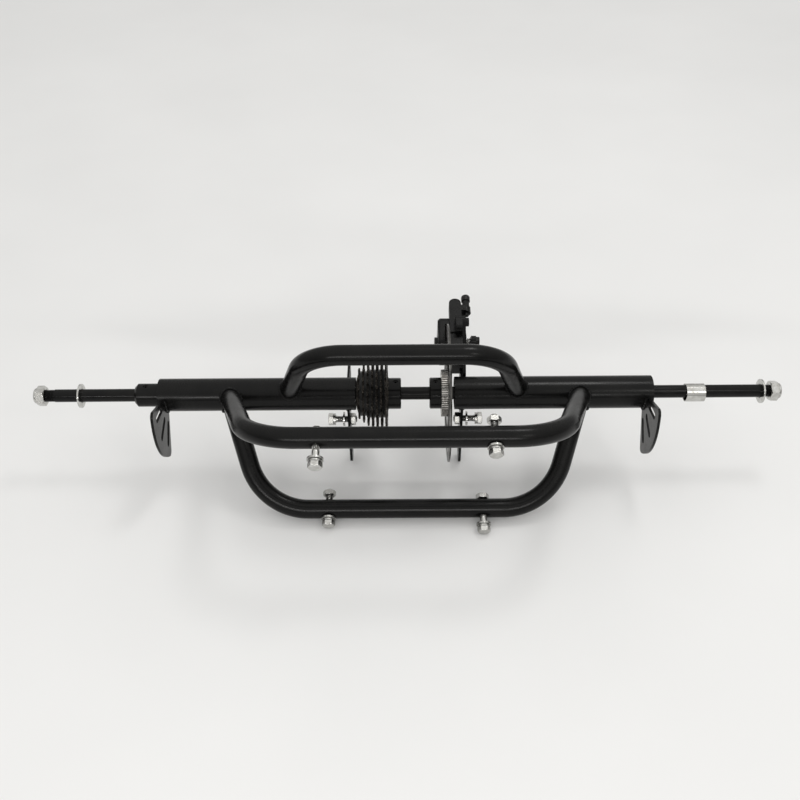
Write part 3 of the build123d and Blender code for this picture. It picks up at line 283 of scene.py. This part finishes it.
def stacked_rings(rings, origin, axis, across=None):
    """Points and faces of a solid made of rings, each a distance along the axis and a list of radii."""
    axis = Vector(axis).normalized()
    first, second = across or axes_along(axis)
    points = []
    for along, radii in rings:
        for index, radius in enumerate(radii):
            turn = 2 * math.pi * index / len(radii)
            spoke = first * math.cos(turn) + second * math.sin(turn)
            points.append(Vector(origin) + axis * along + spoke * radius)
    sides = len(rings[0][1])
    faces = [list(range(sides))[::-1]]
    for ring in range(len(rings) - 1):
        for index in range(sides):
            follow = (index + 1) % sides
            base = ring * sides
            faces.append([base + index, base + follow, base + sides + follow, base + sides + index])
    last = (len(rings) - 1) * sides
    faces.append(list(range(last, last + sides)))
    return points, faces


SIDES = 48
THREAD_STEPS = 8


def round_ring(along, radius):
    """Ring of equal radii."""
    return (along, [radius] * SIDES)


def hex_ring(along, flats, limit):
    """Ring with a hexagon's outline, cut back to a limiting radius."""
    radii = []
    for index in range(SIDES):
        turn = (360 * index / SIDES) % 60 - 30
        radii.append(min(flats / 2 / math.cos(math.radians(turn)), limit))
    return (along, radii)


def thread_rings(start, end, radius, pitch, depth, runout=1.0):
    """Rings of a helical thread, which fades out over a share of a turn at both ends."""
    count = max(2, round((end - start) / pitch * THREAD_STEPS))
    rings = []
    for step in range(count + 1):
        along = start + (end - start) * step / count
        fade = min(1.0, (along - start) / (runout * pitch), (end - along) / (runout * pitch))
        radii = []
        for index in range(SIDES):
            phase = (along / pitch - index / SIDES) % 1.0
            crest = abs(2 * phase - 1)
            cut = min(1.0, max(0.0, 1.35 * crest - 0.15))
            radii.append(radius - depth * cut * fade)
        rings.append((along, radii))
    return rings


def bolt_rings(diameter, length, flats, head, pitch, plain):
    """Hexagon-head bolt: rings from the tip to the top of the head, with the head's seat at zero."""
    radius = diameter / 2
    depth = 0.6 * pitch
    rings = [round_ring(-length, radius - 1.1 * depth)]
    rings.append(round_ring(-length + 0.6 * depth, radius - 0.5 * depth))
    rings += thread_rings(-length + 0.8 * depth, -plain, radius, pitch, depth)
    rings += [round_ring(-plain + 0.2 * MM, radius), round_ring(-0.4 * MM, radius)]
    rings.append(round_ring(0, radius + 0.3 * MM))
    washer_face = 0.475 * flats
    corner = flats / 2 / math.cos(math.radians(30))
    rings += [round_ring(0, washer_face), round_ring(0.25 * MM, washer_face)]
    rings.append(hex_ring(0.45 * MM, flats, corner))
    bevel = (corner - washer_face) / math.sqrt(3)
    rings.append(hex_ring(head - bevel, flats, corner))
    for share in (0.25, 0.5, 0.75):
        rings.append(hex_ring(head - bevel * (1 - share), flats, corner - share * (corner - washer_face)))
    rings += [round_ring(head, washer_face), round_ring(head, 0.62 * washer_face)]
    rings.append(round_ring(head - 0.25 * MM, 0.56 * washer_face))
    rings.append(round_ring(head - 0.3 * MM, 0.1 * washer_face))
    return rings


# --- Axle with cut threads ---
LEFT_SHOULDER = -406.6 * MM
RIGHT_SHOULDER = 413.4 * MM
AXLE_THREAD_RADIUS = 7 * MM
AXLE_PITCH = 1.5 * MM
AXLE_THREAD_DEPTH = 0.9 * MM
SHOULDER_CHAMFER = 0.5 * MM
TIP_CHAMFER_LENGTH = 1.2 * MM
THREAD_FROM_TIP = 1.4 * MM
THREAD_FROM_SHOULDER = 1.5 * MM
RELIEF_START = 0.2 * MM
RELIEF_END = 1.2 * MM


def build_axle():
    """Axle: plain in the middle, with a chamfered step, a relief groove and an M14 thread at each end."""
    plain = (axle_high.z - axle_low.z) / 2
    tip = AXLE_THREAD_RADIUS - 1.4 * MM
    rim = AXLE_THREAD_RADIUS - 0.4 * MM
    root = AXLE_THREAD_RADIUS - AXLE_THREAD_DEPTH
    step = plain - SHOULDER_CHAMFER
    thread = (AXLE_THREAD_RADIUS, AXLE_PITCH, AXLE_THREAD_DEPTH)
    rings = [round_ring(axle_low.x, tip), round_ring(axle_low.x + TIP_CHAMFER_LENGTH, rim)]
    rings += thread_rings(axle_low.x + THREAD_FROM_TIP, LEFT_SHOULDER - THREAD_FROM_SHOULDER, *thread)
    rings += [round_ring(LEFT_SHOULDER - RELIEF_END, root), round_ring(LEFT_SHOULDER - RELIEF_START, root)]
    rings += [round_ring(LEFT_SHOULDER, step), round_ring(LEFT_SHOULDER + SHOULDER_CHAMFER, plain)]
    rings += [round_ring(RIGHT_SHOULDER - SHOULDER_CHAMFER, plain), round_ring(RIGHT_SHOULDER, step)]
    rings += [round_ring(RIGHT_SHOULDER + RELIEF_START, root), round_ring(RIGHT_SHOULDER + RELIEF_END, root)]
    rings += thread_rings(RIGHT_SHOULDER + THREAD_FROM_SHOULDER, axle_high.x - THREAD_FROM_TIP, *thread)
    rings += [round_ring(axle_high.x - TIP_CHAMFER_LENGTH, rim), round_ring(axle_high.x, tip)]
    points, faces = stacked_rings(rings, (0, 0, 0), (1, 0, 0))
    axle = new_piece("threaded_axle", points, faces, "black_oxide", "axle")
    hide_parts("axle")


build_axle()


# --- Bolts with cut threads, placed on the CAD bolts they stand for ---
def loose_parts(node):
    """Lists of the points of each separate solid in a CAD node."""
    mesh = nodes[node].data
    owner = list(range(len(mesh.vertices)))
    places = {}

    def find(index):
        while owner[index] != index:
            owner[index] = owner[owner[index]]
            index = owner[index]
        return index

    for vertex in mesh.vertices:
        key = tuple(round(value * 1e6) for value in vertex.co)
        if key in places:
            owner[find(vertex.index)] = find(places[key])
        else:
            places[key] = vertex.index
    for edge in mesh.edges:
        owner[find(edge.vertices[0])] = find(edge.vertices[1])
    groups = {}
    for vertex in mesh.vertices:
        groups.setdefault(find(vertex.index), []).append(vertex.co.copy())
    return [groups[key] for key in sorted(groups)]


def threaded_bolts(node, name, axis_of, diameter, flats, head, pitch, plain):
    """Replaces a CAD node of bolts by threaded ones on the same axes; axis_of gives each head's direction."""
    points = []
    faces = []
    for part in loose_parts(node):
        middle = sum(part, Vector()) / len(part)
        axis = axis_of(middle)
        reach = [point.dot(axis) for point in part]
        top = max(reach)
        length = top - min(reach) - head
        near_top = [point for point in part if point.dot(axis) > top - 0.2 * MM]
        centre = sum(near_top, Vector()) / len(near_top)
        seat = centre - axis * (centre.dot(axis) - top + head)
        across = Vector((1, 0, 0)) if abs(axis.x) < 0.9 else Vector((0, 1, 0))
        rings = bolt_rings(diameter, length, flats, head, pitch, plain)
        some_points, some_faces = stacked_rings(rings, seat, axis, (across, axis.cross(across)))
        faces += [[index + len(points) for index in face] for face in some_faces]
        points += some_points
    piece = new_piece(name, points, faces, "zinc_plate", "frame")
    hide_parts(node)


def towards_mount(middle):
    """Every hoop bolt's head faces the mount direction."""
    return direction(MOUNT_ANGLE)


def outboard(middle):
    """A dropout bolt's head faces away from the middle of the axle."""
    return Vector((math.copysign(1, middle.x), 0, 0))


M8_SIZES = (8 * MM, 13 * MM, 6 * MM, 1.25 * MM)
threaded_bolts("hoop_bolts", "threaded_hoop_bolts", towards_mount, *M8_SIZES, 12 * MM)
threaded_bolts("dropout_bolts", "threaded_dropout_bolts", outboard, *M8_SIZES, 4 * MM)


# --- Weld beads ---
BEAD_SIDES = 12
BEAD_RADIUS = 1.7 * MM
BEAD_OFFSET = 0.5 * MM
RING_OFFSET = 0.4 * MM
HOOP_BEAD_STEPS = 84


def bead(name, path, inward, radius, closed):
    """Rippled weld bead along a path of points; inward gives the direction into the corner at each point."""
    count = len(path)
    points = []
    for index, place in enumerate(path):
        before = path[index - 1] if closed or index else path[0]
        after = path[(index + 1) % count] if closed or index < count - 1 else path[-1]
        along = (after - before).normalized()
        side = (inward[index] - along * inward[index].dot(along)).normalized()
        other = along.cross(side)
        distance = index / count
        ripple = 1 + 0.20 * math.sin(index * math.pi / 1.5) + 0.30 * noise.noise(place * 260)
        if not closed:
            ripple *= min(1.0, 0.35 + 8 * distance, 0.35 + 8 * (1 - distance))
        for step in range(BEAD_SIDES):
            turn = 2 * math.pi * step / BEAD_SIDES
            points.append(place + (side * math.cos(turn) + other * math.sin(turn)) * radius * ripple)
    faces = []
    for index in range(count if closed else count - 1):
        base = index * BEAD_SIDES
        next_base = ((index + 1) % count) * BEAD_SIDES
        for step in range(BEAD_SIDES):
            follow = (step + 1) % BEAD_SIDES
            faces.append([base + step, base + follow, next_base + follow, next_base + step])
    if not closed:
        faces.append(list(range(BEAD_SIDES))[::-1])
        faces.append([(count - 1) * BEAD_SIDES + step for step in range(BEAD_SIDES)])
    return new_piece(name, points, faces, "black_paint", "frame")


def reach_to_tube(base, leg):
    """Distance from a point inside the axle tube to just outside its surface, along a hoop's leg."""
    flat_leg = Vector((0, leg.y, leg.z))
    flat_base = Vector((0, base.y, base.z))
    square = flat_leg.length_squared
    linear = 2 * flat_leg.dot(flat_base)
    constant = flat_base.length_squared - (TUBE_RADIUS + BEAD_OFFSET) ** 2
    return (-linear + math.sqrt(max(0.0, linear * linear - 4 * square * constant))) / (2 * square)


def hoop_bead(name, angle, root, slope, shift, side):
    """Bead round the joint of a hoop's leg with its axle tube."""
    out = direction(angle)
    leg = (out - Vector((side * slope, 0, 0))).normalized()
    start = Vector((shift + side * root, 0, 0))
    first, second = axes_along(leg)
    path = []
    inward = []
    for index in range(HOOP_BEAD_STEPS):
        turn = 2 * math.pi * index / HOOP_BEAD_STEPS
        offset = (first * math.cos(turn) + second * math.sin(turn)) * (HOOP_RADIUS + BEAD_OFFSET)
        base = start + offset
        path.append(base + leg * reach_to_tube(base, leg))
        inward.append(offset.normalized())
    bead(name, path, inward, BEAD_RADIUS, closed=True)


# Each hoop's angle in degrees, then its reach, half width at the axle, half width at the end and shift in mm.
HOOPS = {
    "upper": (62.9, 115.8, 134.5, 103.1, -2.0),
    "middle": (27.0, 162.4, 204.6, 158.4, 0.0),
    "lower": (-45.8, 133.4, 204.6, 165.3, 0.0),
}
for hoop_name, (angle, reach, root, end, shift) in HOOPS.items():
    slope = (root - end) / reach
    for side, side_name in ((-1, "left"), (1, "right")):
        hoop_bead(f"{hoop_name}_{side_name}_weld", angle, root * MM, slope, shift * MM, side)


def ring_bead(name, x, start_angle, end_angle, facing, radius):
    """Bead on the axle tube round a plate's face at x, between two angles; a full turn closes on itself."""
    closed = end_angle - start_angle >= 360
    steps = max(12, round((end_angle - start_angle) / 360 * 96))
    path = []
    inward = []
    for index in range(steps + (0 if closed else 1)):
        out = direction(start_angle + (end_angle - start_angle) * index / steps)
        path.append(out * (TUBE_RADIUS + RING_OFFSET) + Vector((x + facing * RING_OFFSET, 0, 0)))
        inward.append(out)
    bead(name, path, inward, radius, closed)


PLATE_SPAN = (150, 300)
TAB_SPAN = (-55, 22)
for side_name in ("left", "right"):
    for kind, span in (("dropout_plate", PLATE_SPAN), ("end_tab", TAB_SPAN)):
        low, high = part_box(f"{side_name}_{kind}")
        ring_bead(f"{side_name}_{kind}_weld_a", low.x, *span, -1, BEAD_RADIUS)
        ring_bead(f"{side_name}_{kind}_weld_b", high.x, *span, 1, BEAD_RADIUS)


# --- Floor, light and camera ---
def stage_material():
    """Pale matt floor with a faint uneven tone."""
    material = bpy.data.materials.new("pale_floor")
    material.use_nodes = True
    tree = material.node_tree
    shader = tree.nodes["Principled BSDF"]
    tone = remap(tree, noise_value(tree, 3, 3), 0.3, 0.7, 0, 1)
    tree.links.new(mix_colour(tree, tone, grey(0.80), grey(0.83)), shader.inputs["Base Color"])
    shader.inputs["Roughness"].default_value = 0.6
    return material


def build_floor():
    """Floor just under the lowest hoop."""
    mesh = bpy.data.meshes.new("floor")
    corners = [(x * FLOOR_REACH, y * FLOOR_REACH, FLOOR_Z) for x, y in ((-1, -1), (1, -1), (1, 1), (-1, 1))]
    mesh.from_pydata(corners, [], [(0, 1, 2, 3)])
    floor = bpy.data.objects.new("floor", mesh)
    floor.data.materials.append(stage_material())
    bpy.context.scene.collection.objects.link(floor)


def area_light(name, place, size, energy, colour):
    """Rectangular lamp that faces the middle of the axle; size is its width and height."""
    lamp = bpy.data.lights.new(name, "AREA")
    lamp.shape = "RECTANGLE"
    lamp.size, lamp.size_y = size
    lamp.energy = energy
    lamp.color = colour
    light = bpy.data.objects.new(name, lamp)
    bpy.context.scene.collection.objects.link(light)
    light.location = place
    light.rotation_euler = (-Vector(place)).to_track_quat("-Z", "Y").to_euler()


HORIZON_LIGHT = 0.33
ZENITH_LIGHT = 1.06
# Name, place, width and height, energy in watts and colour of each lamp.
LAMPS = (
    ("above", (0.5, 0.5, 1.7), (0.4, 0.4), 4.5, (1.0, 0.995, 0.98)),
    ("behind_camera", (0.9, -1.3, 1.5), (0.3, 0.3), 2.0, (1.0, 0.98, 0.94)),
    ("front_strip", (-0.2, -2.0, 0.85), (1.8, 0.12), 13.0, (1.0, 0.99, 0.97)),
)


def build_lights():
    """Even studio light: a surround that is bright overhead and dim at the horizon, and broad lamps."""
    world = bpy.data.worlds.new("studio")
    bpy.context.scene.world = world
    world.use_nodes = True
    tree = world.node_tree
    place = add_node(tree, "ShaderNodeTexCoord").outputs["Generated"]
    height = add_node(tree, "ShaderNodeSeparateXYZ", {"Vector": place}).outputs["Z"]
    background = tree.nodes["Background"]
    background.inputs["Color"].default_value = (1.0, 0.995, 0.975, 1)
    tree.links.new(remap(tree, height, 0.0, 1.0, HORIZON_LIGHT, ZENITH_LIGHT), background.inputs["Strength"])
    for lamp in LAMPS:
        area_light(*lamp)


CAMERA_ELEVATION = 43.0
CAMERA_YAW = 0.3
CAMERA_ROLL = -0.616
CAMERA_DISTANCE = 1.0838
CAMERA_SHIFT = (-6.0 * MM, -7.75 * MM)
CAMERA_LENS = 933.9 / 800 * 36


def build_camera():
    """Camera above and in front of the axle, a little to the left and turned by a slight roll."""
    elevation = math.radians(CAMERA_ELEVATION)
    yaw = math.radians(CAMERA_YAW)
    right = Vector((math.cos(yaw), math.sin(yaw), 0))
    level = Vector((math.sin(yaw), -math.cos(yaw), 0))
    back = level * math.cos(elevation) + Vector((0, 0, math.sin(elevation)))
    up = back.cross(right)
    roll = math.radians(CAMERA_ROLL)
    turned_right = right * math.cos(roll) + up * math.sin(roll)
    turned_up = up * math.cos(roll) - right * math.sin(roll)
    place = right * CAMERA_SHIFT[0] + up * CAMERA_SHIFT[1] + back * CAMERA_DISTANCE
    data = bpy.data.cameras.new("camera")
    data.lens = CAMERA_LENS
    data.sensor_width = 36
    data.clip_start = 0.01
    camera = bpy.data.objects.new("camera", data)
    bpy.context.scene.collection.objects.link(camera)
    turn = Matrix((turned_right, turned_up, back)).transposed()
    camera.matrix_world = Matrix.Translation(place) @ turn.to_4x4()
    bpy.context.scene.camera = camera


build_floor()
build_lights()
build_camera()
bpy.context.scene.view_settings.view_transform = "Standard"
